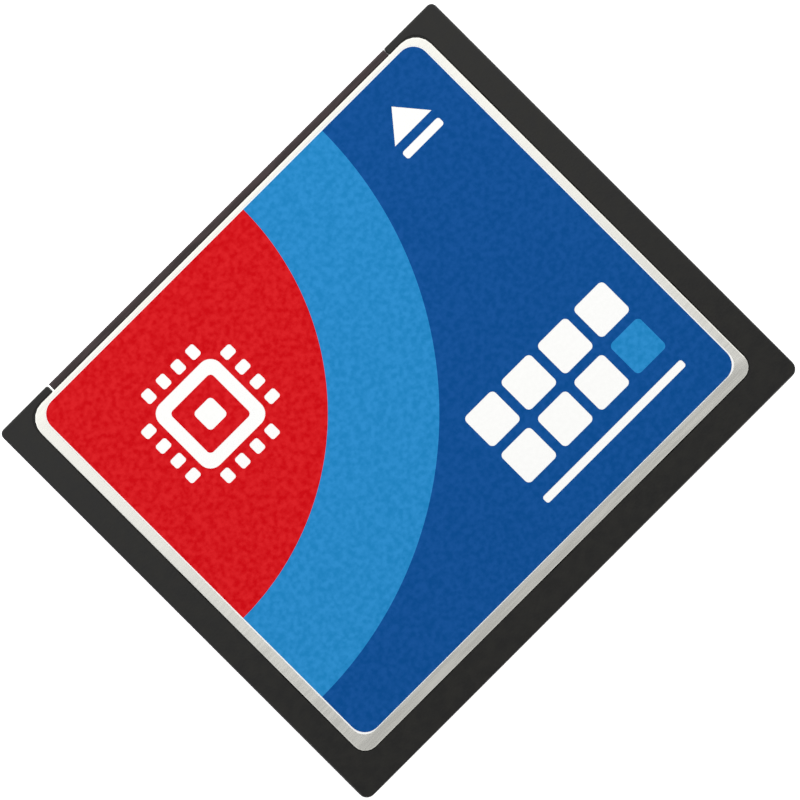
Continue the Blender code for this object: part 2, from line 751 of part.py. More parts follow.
def chip(name, half, x, y, width, length, height, leads):
    """A moulded chip body standing off the board, with a dimple at its first pin and its rows of leads."""
    top = STANDOFF + height
    corners = (CHIP_CORNER, CHIP_CORNER)
    body = slab(name, width, length, (STANDOFF, top), corners, rounded=(1,), rim=CHIP_EDGE, rim_steps=1)
    body.data.transform(Matrix.Translation(body.location))
    dimple_at = (-width / 2 + PIN_ONE_FROM_EDGE, length / 2 - PIN_ONE_FROM_EDGE)
    dimple_span = (top - PIN_ONE_DEPTH, top + PAST)
    dimple = cylinders(name + "_dimple", [dimple_at], PIN_ONE_RADIUS, dimple_span, PEG_SIDES)
    cut(put_on_board(body, half, x, y), put_on_board(dimple, half, x, y))
    for row, turn in leads:
        join(body, put_on_board(row, half, x, y, turn))
    return body


def flash_memory_chip(material):
    """A thin package on the board's upper face, with leads at its left and right ends."""
    x = -BOARD_SIDE + MEMORY_FROM_LEFT + MEMORY_LEAD_REACH + MEMORY_WIDTH / 2
    y = BOARD_REAR + MEMORY_FROM_REAR + MEMORY_LENGTH / 2
    leads = lead_row(
        "memory_leads",
        MEMORY_LENGTH,
        MEMORY_LEADS_FROM_CORNER,
        MEMORY_PITCH,
        MEMORY_LEAD_WIDTH,
        MEMORY_WIDTH / 2,
        MEMORY_LEAD_REACH,
        MEMORY_HEIGHT,
    )
    made = chip("flash_memory_chip", 1, x, y, MEMORY_WIDTH, MEMORY_LENGTH, MEMORY_HEIGHT, [(leads, 0.0)])
    return keep_as_part(made, material)


def controller_chip(material):
    """A square package on the board's lower face, with leads on its four sides."""
    half_side = CONTROLLER_SIDE / 2
    x = BOARD_SIDE - CONTROLLER_FROM_RIGHT - CONTROLLER_LEAD_REACH - half_side
    y = BOARD_REAR + CONTROLLER_FROM_REAR + CONTROLLER_LEAD_REACH + half_side
    rows = [
        lead_row(
            name,
            CONTROLLER_SIDE,
            CONTROLLER_LEADS_FROM_CORNER,
            CONTROLLER_PITCH,
            CONTROLLER_LEAD_WIDTH,
            half_side,
            CONTROLLER_LEAD_REACH,
            CONTROLLER_HEIGHT,
        )
        for name in ("controller_leads_across", "controller_leads_along")
    ]
    turned = list(zip(rows, (0.0, math.radians(90))))
    made = chip("controller_chip", -1, x, y, CONTROLLER_SIDE, CONTROLLER_SIDE, CONTROLLER_HEIGHT, turned)
    return keep_as_part(made, material)


def supply_capacitor(material):
    x = BOARD_SIDE - CAPACITOR_FROM_RIGHT - CAPACITOR_LENGTH / 2
    y = BOARD_FRONT - CAPACITOR_FROM_FRONT - CAPACITOR_WIDTH / 2
    span = level(1, MOUNT_HEIGHT, MOUNT_HEIGHT + CAPACITOR_HEIGHT)
    corners = (CHIP_CORNER, CHIP_CORNER)
    part = slab(
        "supply_capacitor", CAPACITOR_LENGTH, CAPACITOR_WIDTH, span, corners, (x, y), (1,), CHIP_EDGE, 1
    )
    return keep_as_part(part, material)


def build():
    black = new_material("black_moulded_plastic", (0.028, 0.028, 0.027), 0.45)
    lower_black = new_material("black_moulded_plastic_lower", (0.028, 0.028, 0.027), 0.45)
    steel = new_material("stainless_cover_sheet", (0.78, 0.78, 0.75), 0.28, 1.0)
    lower_steel = new_material("stainless_cover_sheet_lower", (0.78, 0.78, 0.75), 0.28, 1.0)
    film = new_material("printed_label_film", (0.02, 0.25, 0.55), 0.4)
    glass_fibre = new_material("green_board_laminate", (0.02, 0.12, 0.05), 0.4)
    dark_grey = new_material("connector_plastic", (0.075, 0.06, 0.062), 0.5)
    epoxy = new_material("chip_epoxy", (0.02, 0.02, 0.022), 0.55)
    controller_epoxy = new_material("controller_epoxy", (0.02, 0.02, 0.022), 0.55)
    ochre = new_material("capacitor_case", (0.55, 0.3, 0.05), 0.5)
    gold = new_material("gold_plated_bronze", (0.9, 0.62, 0.25), 0.25, 1.0)
    top_frame(black)
    bottom_frame(lower_black)
    top_cover(steel)
    cover("bottom_cover_plate", -1, lower_steel)
    front_label(film)
    circuit_board(glass_fibre)
    connector_housing(dark_grey)
    flash_memory_chip(epoxy)
    controller_chip(controller_epoxy)
    supply_capacitor(ochre)
    contacts(gold)


empty_scene()
CARD = new_collection("compact_flash_card")
TOOLS = new_collection("cutters")
ORIGIN = bpy.data.objects.new("card_origin", None)
CARD.objects.link(ORIGIN)
build()
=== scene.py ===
import math
from collections import namedtuple

import bmesh
import bpy
from bpy.props import FloatProperty, FloatVectorProperty, IntProperty, PointerProperty
from bpy.types import Operator, Panel, PropertyGroup
from mathutils import Matrix, Vector


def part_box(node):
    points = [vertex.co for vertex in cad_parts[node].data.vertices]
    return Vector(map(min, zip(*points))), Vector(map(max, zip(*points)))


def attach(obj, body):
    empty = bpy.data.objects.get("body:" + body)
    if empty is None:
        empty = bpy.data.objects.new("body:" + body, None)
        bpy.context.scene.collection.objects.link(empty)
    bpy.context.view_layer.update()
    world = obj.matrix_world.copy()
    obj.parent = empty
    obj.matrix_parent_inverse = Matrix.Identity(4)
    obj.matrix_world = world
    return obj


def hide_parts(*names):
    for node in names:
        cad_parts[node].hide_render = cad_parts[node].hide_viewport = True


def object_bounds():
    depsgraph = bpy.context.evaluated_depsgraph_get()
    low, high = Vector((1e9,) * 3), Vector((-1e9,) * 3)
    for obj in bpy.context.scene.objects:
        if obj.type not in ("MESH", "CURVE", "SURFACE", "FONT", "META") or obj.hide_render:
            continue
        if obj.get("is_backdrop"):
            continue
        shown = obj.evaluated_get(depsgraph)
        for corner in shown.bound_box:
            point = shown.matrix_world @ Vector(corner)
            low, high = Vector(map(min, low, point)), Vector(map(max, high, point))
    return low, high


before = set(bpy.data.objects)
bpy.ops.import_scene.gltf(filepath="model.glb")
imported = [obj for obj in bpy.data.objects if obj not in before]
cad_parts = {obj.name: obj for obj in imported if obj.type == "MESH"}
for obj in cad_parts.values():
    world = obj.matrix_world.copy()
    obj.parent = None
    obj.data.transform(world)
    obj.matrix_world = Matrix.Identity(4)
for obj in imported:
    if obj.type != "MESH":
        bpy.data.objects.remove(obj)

bl_info = {
    "name": "Compact flash card",
    "version": (1, 0, 0),
    "blender": (4, 5, 0),
    "location": "3D View > Sidebar > Flash card",
    "description": "Gives a compact flash card its finishes, its printed label, and a lit stage",
    "category": "Object",
}

MM = 0.001
BODY = "root"

# Where the card lies in the photograph, in its pixels, and how far it is turned there, in degrees
PHOTO_SIDE = 800
CARD_CENTRE_PIXEL = (399.14, 401.41)
PIXELS_A_MM = 14.305
CARD_TURN = -45

# How finely curves are drawn, and how near to each other two points are one
ARC_STEPS = 72
CORNER_STEPS = 10
WELD_DISTANCE = 0.0005 * MM

# Edges with at least this turn are rounded, in degrees, and by this many segments
ROUND_FROM = 60
EDGE_SEGMENTS = 2

# Edges with at most this turn are shaded smooth, in degrees
SMOOTH_MOULDED = 50
SMOOTH_SHEET = 40
SMOOTH_SMALL = 30

# How much large faces count in the normals. At 50 they count as small ones do, and at 100 the most
LARGE_FACE_WEIGHT = 80

# A face is level where its normal's height is over this, and over the second where the slope of the upper
# cover's rim is to count as level too
LEVEL_FLAT = 0.9999
LEVEL_SLOPING = 0.999

# Most of the values of a noise lie between these
NOISE_LOW = 0.35
NOISE_HIGH = 0.65

# Heights in the light tent, of 1 at its top, between which its foot's light turns into its top's
TENT_FOOT_END = 0.45
TENT_TOP_START = 0.85

# How the parts on the circuit board lie, in millimetres, as the frame's nodes have them
MEMORY_LEAD_REACH = 0.8
CONTROLLER_LEAD_REACH = 1.0
CERAMIC_SPACING = 4.2
CERAMIC_FROM_LEFT = 3.4
CERAMIC_BODY = 1.0
BOARD_THICKNESS = 0.5

# The supply capacitor's tinned ends, and where its band lies from one end, in millimetres
CAPACITOR_END = 0.45
BAND_START = 0.54
BAND_END = 1.17

# The tracks under the solder mask: a bend's size in millimetres, how far it strays, the lines in it, and
# between which shares of a line's width its edge lies
TRACK_BEND = 9
TRACK_STRAY = 6
TRACK_LINES = 24
TRACK_EDGE = (0.62, 0.72)

# How far the solder mask's colour reaches over the board's faces, in millimetres
MASK_SLACK = 0.01

# Roughness of the tinned leads and ends, and of the cases between them
TIN_ROUGHNESS = 0.3
CASE_ROUGHNESS = 0.6

# From the red disc's straight edges to the middle of the chip sign, as a share of the disc's radius
SIGN_REACH = 0.42

# Pins on each side of the chip sign
PINS_A_SIDE = 4

# The print's edges, and the radii of its corners at the connector and at the rear
PrintArea = namedtuple("PrintArea", "left bottom right top front rear")


def linear(code):
    """The linear colour of an sRGB hex code."""
    channels = [int(code[place : place + 2], 16) / 255 for place in (0, 2, 4)]
    return tuple(c / 12.92 if c <= 0.04045 else ((c + 0.055) / 1.055) ** 2.4 for c in channels)


def colour_property(name, description, code):
    return FloatVectorProperty(
        name=name, description=description, subtype="COLOR", size=3, min=0, max=1, default=linear(code)
    )


def length_property(name, description, millimetres):
    return FloatProperty(
        name=name, description=description, subtype="DISTANCE", unit="LENGTH", min=0, default=millimetres * MM
    )


class LabelSizes(PropertyGroup):
    overlap: length_property("Overlap", "How far the film reaches over the card's plain label", 0.02)
    border: length_property("Border", "Bare white film left in front of the print and beside it", 0.1)
    rear_border: length_property("Rear border", "Bare white film left behind the print", 0.05)
    front_corner: length_property("Front corner", "Radius of the film's corners at the connector", 1.33)
    rear_corner: length_property("Rear corner", "Radius of the film's corners at the rear", 1.15)
    ink_rear_corner: length_property("Ink's rear corner", "Radius of the print's corners at the rear", 1.25)
    ink: length_property("Ink", "Thickness of the printed ink", 0.01)
    disc: length_property("Disc", "Radius of the red quarter disc in the upper left corner", 20.2)
    ring: length_property("Ring", "Width of the light blue ring round the disc", 7.8)
    margin: length_property("Margin", "From the print's edge to the signs in it", 2.6)
    cell: length_property("Cell", "Side of one memory cell of the block pattern", 2.9)
    cell_gap: length_property("Cell gap", "Gap between two memory cells", 0.7)
    cells_across: IntProperty(name="Cells across", description="Memory cells in a row", min=1, default=4)
    cells_down: IntProperty(name="Cells down", description="Rows of memory cells", min=1, default=2)
    rule: length_property("Rule", "Height of the rule under the cells", 0.6)
    chip_sign: length_property("Chip sign", "Side of the chip sign in the red disc", 8.8)
    arrow: length_property("Arrow", "Width of the arrow that points to the connector", 3.6)
    red: colour_property("Red ink", "The quarter disc", "D0131A")
    light_blue: colour_property("Light blue ink", "The ring and one cell", "2586C4")
    dark_blue: colour_property("Dark blue ink", "The field", "0B4D92")
    mottle: FloatProperty(name="Mottle", description="How unevenly the inks lie", min=0, default=0.07)
    through: FloatProperty(name="Through", description="White seen through thin ink", min=0, default=0.0052)
    through_dark: FloatProperty(
        name="Through dark", description="White seen through thin dark ink", min=0, default=0.0022
    )
    film: colour_property("Film", "The bare film", "F9F9F7")


class FinishSizes(PropertyGroup):
    edge: length_property("Edge", "How far sharp moulded and sheared edges are rounded", 0.025)
    small_edge: length_property("Small edge", "How far the connector's edges are rounded", 0.0125)
    cover_corner: length_property("Cover corner", "Radius of the covers' corners", 1.3)
    crown: FloatProperty(name="Crown", description="Slope of the upper cover's rim", min=0, default=0.04)
    black: colour_property("Black plastic", "The two frame halves", "090804")
    steel: colour_property("Steel", "The two cover plates", "E8E7E0")
    housing: colour_property("Connector plastic", "The connector housing", "3A3031")
    gold: colour_property("Gold", "The socket contacts", "F0C878")
    tin: colour_property("Tin", "The chips' leads and the small parts' ends", "C9CACB")
    solder_mask: colour_property("Solder mask", "The circuit board", "17563A")
    ceramic: colour_property("Ceramic", "The small ceramic parts on the board", "A98A68")
    epoxy: colour_property("Epoxy", "The chips' bodies", "252526")
    capacitor: colour_property("Capacitor case", "The supply capacitor", "C88A2E")


class StageSizes(PropertyGroup):
    floor: length_property("Floor", "Side of the floor", 4000)
    floor_colour: colour_property("Floor colour", "The pale floor", "F8F8F8")
    floor_glow: FloatProperty(name="Floor glow", description="Light through the floor", min=0, default=0.75)
    lens: FloatProperty(name="Lens", description="Focal length", unit="CAMERA", default=300)
    sensor: FloatProperty(name="Sensor", description="Width of the sensor", unit="CAMERA", default=36)
    tent: FloatProperty(name="Tent", description="Brightness of the light tent", min=0, default=0.49)
    tent_foot: FloatProperty(name="Tent foot", description="Brightness of its lower part", min=0, default=0.9)
    softbox: FloatProperty(name="Softbox", description="Brightness of its face", min=0, default=0.73)
    softbox_height: length_property("Softbox height", "Above the floor", 160)
    softbox_width: length_property("Softbox width", "Across the card", 1400)
    softbox_depth: length_property("Softbox depth", "Along the card", 900)
    softbox_overlap: length_property("Softbox overlap", "How far it reaches behind the card's middle", 7)
    softbox_turn: FloatProperty(
        name="Softbox turn", description="About the card", subtype="ANGLE", default=math.radians(-9)
    )


def add_node(tree, kind, inputs=None, into=None, **settings):
    """Adds a node with its settings and links.

    inputs gives each of its sockets a value, or another node's output to link from. into gives its outputs
    the sockets that they link to.
    """
    node = tree.nodes.new(kind)
    for name, value in settings.items():
        setattr(node, name, value)
    for name, value in (inputs or {}).items():
        if isinstance(value, bpy.types.NodeSocket):
            tree.links.new(value, node.inputs[name])
        else:
            node.inputs[name].default_value = value
    for name, socket in (into or {}).items():
        tree.links.new(node.outputs[name], socket)
    return node


def scale_for(millimetres):
    """The texture scale that makes a feature this large, where coordinates are in metres."""
    return 1 / (millimetres * MM)


def shade(colour, factor):
    return tuple(min(channel * factor, 1) for channel in colour)


def darker_and_lighter(colour, share):
    """The colour made darker by a share of itself, and lighter by it."""
    return shade(colour, 1 - share), shade(colour, 1 + share)


def new_surface(name, colour, roughness, **values):
    """A material with a Principled shader. values are its other sockets, with _ for a space in a name."""
    made = bpy.data.materials.new(name)
    made.use_nodes = True
    tree = made.node_tree
    shader = tree.nodes["Principled BSDF"]
    shader.inputs["Base Color"].default_value = (*colour, 1)
    shader.inputs["Roughness"].default_value = roughness
    for socket, value in values.items():
        shader.inputs[socket.replace("_", " ")].default_value = value
    coordinates = add_node(tree, "ShaderNodeTexCoord").outputs["Object"]
    return made, tree, shader, coordinates


def vary(tree, shader, noise, colours, rough):
    """Lets a noise move the surface's colour between two colours, and its roughness between two values."""
    share = add_node(
        tree, "ShaderNodeMapRange", {"Value": noise, "From Min": NOISE_LOW, "From Max": NOISE_HIGH}
    ).outputs["Result"]
    add_node(
        tree,
        "ShaderNodeMix",
        {0: share, 6: (*colours[0], 1), 7: (*colours[1], 1)},
        {2: shader.inputs["Base Color"]},
        data_type="RGBA",
    )
    add_node(
        tree,
        "ShaderNodeMapRange",
        {"Value": share, "To Min": rough[0], "To Max": rough[1]},
        {"Result": shader.inputs["Roughness"]},
    )


def black_pbt(colour):
    """Black glass filled PBT, moulded in a spark eroded tool."""
    # The eye sees a matt, dark skin that is faintly cloudy, over a grain of 0.05 mm that is drawn at 0.2 mm
    made, tree, shader, coordinates = new_surface(
        "pbt_moulded_spark_grain", colour, 0.34, Specular_IOR_Level=0.39
    )
    grain = add_node(
        tree, "ShaderNodeTexNoise", {"Vector": coordinates, "Scale": scale_for(0.2), "Detail": 3}
    ).outputs[0]
    cloud = add_node(
        tree, "ShaderNodeTexNoise", {"Vector": coordinates, "Scale": scale_for(0.8), "Detail": 3}
    ).outputs[0]
    vary(tree, shader, cloud, darker_and_lighter(colour, 0.5), (0.31, 0.38))
    add_node(
        tree,
        "ShaderNodeBump",
        {"Height": grain, "Distance": 0.008 * MM},
        {"Normal": shader.inputs["Normal"]},
    )
    return made


def satin_stainless(colour):
    """Stainless sheet, cold rolled to a satin finish."""
    # The eye sees a bright warm grey with soft reflections, and faint streaks along the rolling. They are
    # 0.02 mm wide, too fine to show, so they are drawn 0.2 mm wide
    made, tree, shader, coordinates = new_surface("stainless_rolled_satin", colour, 0.27, Metallic=1.0)
    stretched = add_node(
        tree, "ShaderNodeMapping", {"Vector": coordinates, "Scale": (1, 20, 20)}
    ).outputs[0]
    streaks = add_node(
        tree, "ShaderNodeTexNoise", {"Vector": stretched, "Scale": scale_for(3.5), "Detail": 4}
    ).outputs[0]
    vary(tree, shader, streaks, darker_and_lighter(colour, 0.04), (0.24, 0.3))
    add_node(
        tree,
        "ShaderNodeBump",
        {"Height": streaks, "Distance": 0.0005 * MM},
        {"Normal": shader.inputs["Normal"]},
    )
    return made


def white_film(colour):
    """White polyester label film with a matt coat."""
    # The eye sees an even white with hardly any shine. The coat's grain of 0.02 mm is drawn at 0.3 mm
    made, tree, shader, coordinates = new_surface("polyester_film_matt", colour, 0.5, Specular_IOR_Level=0.1)
    grain = add_node(
        tree, "ShaderNodeTexNoise", {"Vector": coordinates, "Scale": scale_for(0.3), "Detail": 2}
    ).outputs[0]
    vary(tree, shader, grain, darker_and_lighter(colour, 0.01), (0.46, 0.54))
    return made


def printed_ink(name, colour, mottle, through):
    """Offset ink under a matt coat, thick and thin by mottle, with this much film seen through thin ink."""
    # The eye sees full colour with a fine mottle. The dots of the screen are 0.1 mm apart, too fine to show,
    # so the mottle is drawn at 0.4 mm
    made, tree, shader, coordinates = new_surface(name, colour, 0.5, Specular_IOR_Level=0.05)
    blotches = add_node(
        tree, "ShaderNodeTexNoise", {"Vector": coordinates, "Scale": scale_for(0.4), "Detail": 3}
    ).outputs[0]
    thick = [(1 - mottle) * channel - through for channel in colour]
    thin = [(1 + mottle) * channel + through for channel in colour]
    vary(tree, shader, blotches, (thick, thin), (0.44, 0.54))
    return made


def connector_lcp(colour):
    """Glass filled liquid crystal polymer, moulded."""
    # The eye sees a brownish dark grey, with the flow of the melt in faint streaks across the card
    made, tree, shader, coordinates = new_surface(
        "lcp_moulded_flow_marked", colour, 0.5, Specular_IOR_Level=0.22
    )
    stretched = add_node(
        tree, "ShaderNodeMapping", {"Vector": coordinates, "Scale": (1, 5, 5)}
    ).outputs[0]
    flow = add_node(
        tree, "ShaderNodeTexNoise", {"Vector": stretched, "Scale": scale_for(1.5), "Detail": 4}
    ).outputs[0]
    vary(tree, shader, flow, darker_and_lighter(colour, 0.25), (0.44, 0.58))
    add_node(
        tree,
        "ShaderNodeBump",
        {"Height": flow, "Distance": 0.003 * MM},
        {"Normal": shader.inputs["Normal"]},
    )
    return made


def gold_plated_bronze(colour):
    """Phosphor bronze with a flash of gold, stamped and plated."""
    # The eye sees bright smooth gold, with the tool's lines along the prongs. They are 0.01 mm wide, too fine
    # to show, so they are drawn 0.08 mm wide
    made, tree, shader, coordinates = new_surface("bronze_gold_plated", colour, 0.22, Metallic=1.0)
    stretched = add_node(
        tree, "ShaderNodeMapping", {"Vector": coordinates, "Scale": (12, 1, 12)}
    ).outputs[0]
    lines = add_node(
        tree, "ShaderNodeTexNoise", {"Vector": stretched, "Scale": scale_for(0.9), "Detail": 3}
    ).outputs[0]
    vary(tree, shader, lines, darker_and_lighter(colour, 0.07), (0.17, 0.3))
    add_node(
        tree,
        "ShaderNodeBump",
        {"Height": lines, "Distance": 0.0008 * MM},
        {"Normal": shader.inputs["Normal"]},
    )
    return made


def inside(tree, coordinates, low, high):
    """1 inside a box that is given by its corners in metres, and 0 outside."""
    centre = (low + high) / 2
    half = (high - low) / 2
    away = add_node(
        tree, "ShaderNodeVectorMath", {0: coordinates, 1: centre}, operation="SUBTRACT"
    ).outputs[0]
    away = add_node(tree, "ShaderNodeVectorMath", {0: away}, operation="ABSOLUTE").outputs[0]
    share = 1.0
    for part, limit in zip(add_node(tree, "ShaderNodeSeparateXYZ", {0: away}).outputs, half):
        within = add_node(tree, "ShaderNodeMath", {0: part, 1: limit}, operation="LESS_THAN").outputs[0]
        share = add_node(tree, "ShaderNodeMath", {0: share, 1: within}, operation="MULTIPLY").outputs[0]
    return share


def tinned_outside(tree, shader, body, colour, tin):
    """Tinned metal where body is 0, and the piece's own colour where it is 1."""
    add_node(
        tree,
        "ShaderNodeMix",
        {0: body, 6: (*tin, 1), 7: colour},
        {2: shader.inputs["Base Color"]},
        data_type="RGBA",
    )
    add_node(tree, "ShaderNodeMath", {0: 1.0, 1: body}, {0: shader.inputs["Metallic"]}, operation="SUBTRACT")
    add_node(
        tree,
        "ShaderNodeMapRange",
        {"Value": body, "To Min": TIN_ROUGHNESS, "To Max": CASE_ROUGHNESS},
        {0: shader.inputs["Roughness"]},
    )


def speckle(tree, coordinates, colour, millimetres):
    """The colour with a fine speckle of filler in it."""
    grain = add_node(
        tree, "ShaderNodeTexNoise", {"Vector": coordinates, "Scale": scale_for(millimetres), "Detail": 2}
    ).outputs[0]
    dark, light = darker_and_lighter(colour, 0.3)
    return add_node(
        tree, "ShaderNodeMix", {0: grain, 6: (*dark, 1), 7: (*light, 1)}, data_type="RGBA"
    ).outputs[2]


def chip_package(name, node, reach, colour, tin):
    """Moulded epoxy, with tinned leads that reach this far outside its body, along X and along Y."""
    # The eye sees a matt dark grey full of fine filler, and dull silver leads. The filler's grains of 0.03 mm
    # are drawn at 0.1 mm
    made, tree, shader, coordinates = new_surface(name, colour, 0.6)
    low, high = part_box(node)
    inset = Vector((*reach, 0)) * MM
    grown = Vector((0, 0, MM))
    body = inside(tree, coordinates, low + inset - grown, high - inset + grown)
    tinned_outside(tree, shader, body, speckle(tree, coordinates, colour, 0.1), tin)
    return made


def capacitor_package(colour, tin):
    """Tantalum capacitor in an epoxy case, moulded, with tinned ends."""
    # The eye sees ochre with a dark band at the positive end, and dull silver ends. The case's grain of
    # 0.03 mm is drawn at 0.15 mm
    made, tree, shader, coordinates = new_surface("epoxy_case_ochre", colour, 0.5)
    low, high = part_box("supply_capacitor")
    end = Vector((CAPACITOR_END * MM, 0, 0))
    grown = Vector((0, MM, MM))
    body = inside(tree, coordinates, low + end - grown, high - end + grown)
    band_low = Vector((low.x + BAND_START * MM, low.y, low.z))
    band_high = Vector((low.x + BAND_END * MM, high.y, high.z))
    band = inside(tree, coordinates, band_low - grown, band_high + grown)
    painted = add_node(
        tree,
        "ShaderNodeMix",
        {0: band, 6: speckle(tree, coordinates, colour, 0.15), 7: (*shade(colour, 0.25), 1)},
        data_type="RGBA",
    ).outputs[2]
    tinned_outside(tree, shader, body, painted, tin)
    return made


def masked_laminate(colour, ceramic_colour, tin):
    """Glass fibre laminate under solder mask, with small ceramic parts soldered to it."""
    # The eye sees glossy green with copper tracks as lighter lines, and tan ceramics with silver ends
    made, tree, shader, coordinates = new_surface("laminate_solder_mask", colour, 0.35)
    bent = add_node(
        tree,
        "ShaderNodeTexWave",
        {"Vector": coordinates, "Scale": scale_for(TRACK_BEND), "Distortion": TRACK_STRAY, "Detail": 0},
    ).outputs[1]
    lines = add_node(tree, "ShaderNodeMath", {0: bent, 1: TRACK_LINES}, operation="MULTIPLY").outputs[0]
    lines = add_node(tree, "ShaderNodeMath", {0: lines, 1: 1.0}, operation="PINGPONG").outputs[0]
    tracks = add_node(
        tree, "ShaderNodeMapRange", {"Value": lines, "From Min": TRACK_EDGE[0], "From Max": TRACK_EDGE[1]}
    ).outputs[0]
    green = add_node(
        tree, "ShaderNodeMix", {0: tracks, 6: (*colour, 1), 7: (*shade(colour, 1.7), 1)}, data_type="RGBA"
    ).outputs[2]

    low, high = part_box("circuit_board")
    middle = (low.z + high.z) / 2
    half = (BOARD_THICKNESS / 2 + MASK_SLACK) * MM
    board = inside(
        tree,
        coordinates,
        Vector((low.x - MM, low.y - MM, middle - half)),
        Vector((high.x + MM, high.y + MM, middle + half)),
    )
    start = low.x + (CERAMIC_FROM_LEFT - CERAMIC_BODY / 2) * MM
    along = add_node(tree, "ShaderNodeSeparateXYZ", {0: coordinates}).outputs[0]
    along = add_node(tree, "ShaderNodeMath", {0: along, 1: start}, operation="SUBTRACT").outputs[0]
    along = add_node(
        tree, "ShaderNodeMath", {0: along, 1: CERAMIC_SPACING * MM}, operation="FLOORED_MODULO"
    ).outputs[0]
    ceramic = add_node(
        tree, "ShaderNodeMath", {0: along, 1: CERAMIC_BODY * MM}, operation="LESS_THAN"
    ).outputs[0]
    body = add_node(tree, "ShaderNodeMath", {0: board, 1: ceramic}, operation="MAXIMUM").outputs[0]
    painted = add_node(
        tree, "ShaderNodeMix", {0: board, 6: (*ceramic_colour, 1), 7: green}, data_type="RGBA"
    ).outputs[2]
    tinned_outside(tree, shader, body, painted, tin)
    return made


def opal_acrylic(colour, glow):
    """Opal acrylic sheet, cast, with some light through it from below."""
    # The eye sees an even pale sheet with no shine, and hardly a shadow round what lies on it
    return new_surface(
        "acrylic_opal_cast",
        colour,
        0.8,
        Specular_IOR_Level=0.1,
        Emission_Color=(1, 1, 1, 1),
        Emission_Strength=glow,
    )[0]


def smoothing_group(degrees):
    """Node group that shades everything smooth, apart from edges sharper than an angle."""
    group = bpy.data.node_groups.new(f"smooth_under_{degrees}_degrees", "GeometryNodeTree")
    for way in ("INPUT", "OUTPUT"):
        group.interface.new_socket("Geometry", in_out=way, socket_type="NodeSocketGeometry")
    mesh = add_node(group, "NodeGroupInput").outputs[0]
    mesh = add_node(group, "GeometryNodeRemoveAttribute", {0: mesh, "Name": "custom_normal"}).outputs[0]
    mesh = add_node(group, "GeometryNodeSetShadeSmooth", {0: mesh}).outputs[0]
    angle = add_node(group, "GeometryNodeInputMeshEdgeAngle").outputs[0]
    sharp = add_node(
        group, "FunctionNodeCompare", {0: angle, 1: math.radians(degrees)}, operation="GREATER_THAN"
    ).outputs[0]
    mesh = add_node(
        group,
        "GeometryNodeSetShadeSmooth",
        {0: mesh, "Selection": sharp, "Shade Smooth": False},
        domain="EDGE",
    ).outputs[0]
    add_node(group, "NodeGroupOutput", {0: mesh})
    return group


def level_normals(least, lean=0.0, low=(0, 0, 0), high=(0, 0, 0)):
    """Node group that gives level faces exact normals, so that long thin triangles in them don't show.

    A face is level where its normal's height is over least. Where lean isn't 0, the normals lean out by it
    all round the rectangle between low and high, as on a crowned sheet.
    """
    group = bpy.data.node_groups.new("level_normals", "GeometryNodeTree")
    for way in ("INPUT", "OUTPUT"):
        group.interface.new_socket("Geometry", in_out=way, socket_type="NodeSocketGeometry")
    mesh = add_node(group, "NodeGroupInput").outputs[0]
    normal, true_normal = add_node(group, "GeometryNodeInputNormal").outputs[:2]
    face = add_node(
        group, "GeometryNodeFieldOnDomain", {0: true_normal}, domain="FACE", data_type="FLOAT_VECTOR"
    ).outputs[0]
    rise = add_node(group, "ShaderNodeSeparateXYZ", {0: face}).outputs["Z"]
    height = add_node(group, "ShaderNodeMath", {0: rise}, operation="ABSOLUTE").outputs[0]
    is_level = add_node(
        group, "FunctionNodeCompare", {0: height, 1: least}, operation="GREATER_THAN"
    ).outputs[0]
    place = add_node(group, "GeometryNodeInputPosition").outputs[0]
    held = add_node(group, "ShaderNodeVectorMath", {0: place, 1: low}, operation="MAXIMUM").outputs[0]
    held = add_node(group, "ShaderNodeVectorMath", {0: held, 1: high}, operation="MINIMUM").outputs[0]
    out = add_node(group, "ShaderNodeVectorMath", {0: place, 1: held}, operation="SUBTRACT").outputs[0]
    out = add_node(group, "ShaderNodeVectorMath", {0: out, 1: (1, 1, 0)}, operation="MULTIPLY").outputs[0]
    out = add_node(group, "ShaderNodeVectorMath", {0: out}, operation="NORMALIZE").outputs[0]
    out = add_node(group, "ShaderNodeVectorMath", {0: out, "Scale": lean}, operation="SCALE").outputs[0]
    sign = add_node(group, "ShaderNodeMath", {0: rise}, operation="SIGN").outputs[0]
    up = add_node(group, "ShaderNodeCombineXYZ", {"Z": sign}).outputs[0]
    exact = add_node(group, "ShaderNodeVectorMath", {0: out, 1: up}, operation="ADD").outputs[0]
    chosen = add_node(
        group, "GeometryNodeSwitch", {"Switch": is_level, "False": normal, "True": exact}, input_type="VECTOR"
    ).outputs[0]
    mesh = add_node(
        group, "GeometryNodeSetMeshNormal", {0: mesh, "Custom Normal": chosen}, mode="FREE", domain="CORNER"
    ).outputs[0]
    add_node(group, "NodeGroupOutput", {0: mesh})
    return group


def soften(piece, width, smoothing, level=None):
    """Rounds a piece's sharp edges and smooths its shading, with modifiers alone.

    smoothing and level are the node groups from smoothing_group and level_normals.
    """
    weld = piece.modifiers.new("weld", "WELD")
    weld.merge_threshold = WELD_DISTANCE
    rounding = piece.modifiers.new("round_edges", "BEVEL")
    rounding.width = width
    rounding.segments = EDGE_SEGMENTS
    rounding.limit_method = "ANGLE"
    rounding.angle_limit = math.radians(ROUND_FROM)
    rounding.use_clamp_overlap = True
    piece.modifiers.new("smooth", "NODES").node_group = smoothing
    weighted = piece.modifiers.new("weighted_normals", "WEIGHTED_NORMAL")
    weighted.keep_sharp = True
    weighted.weight = LARGE_FACE_WEIGHT
    if level:
        piece.modifiers.new("level_normals", "NODES").node_group = level


def dress(node, material):
    """Gives a frame node its finished material in place of the plain one."""
    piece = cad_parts[node]
    piece.data.materials.clear()
    piece.data.materials.append(material)
    return piece


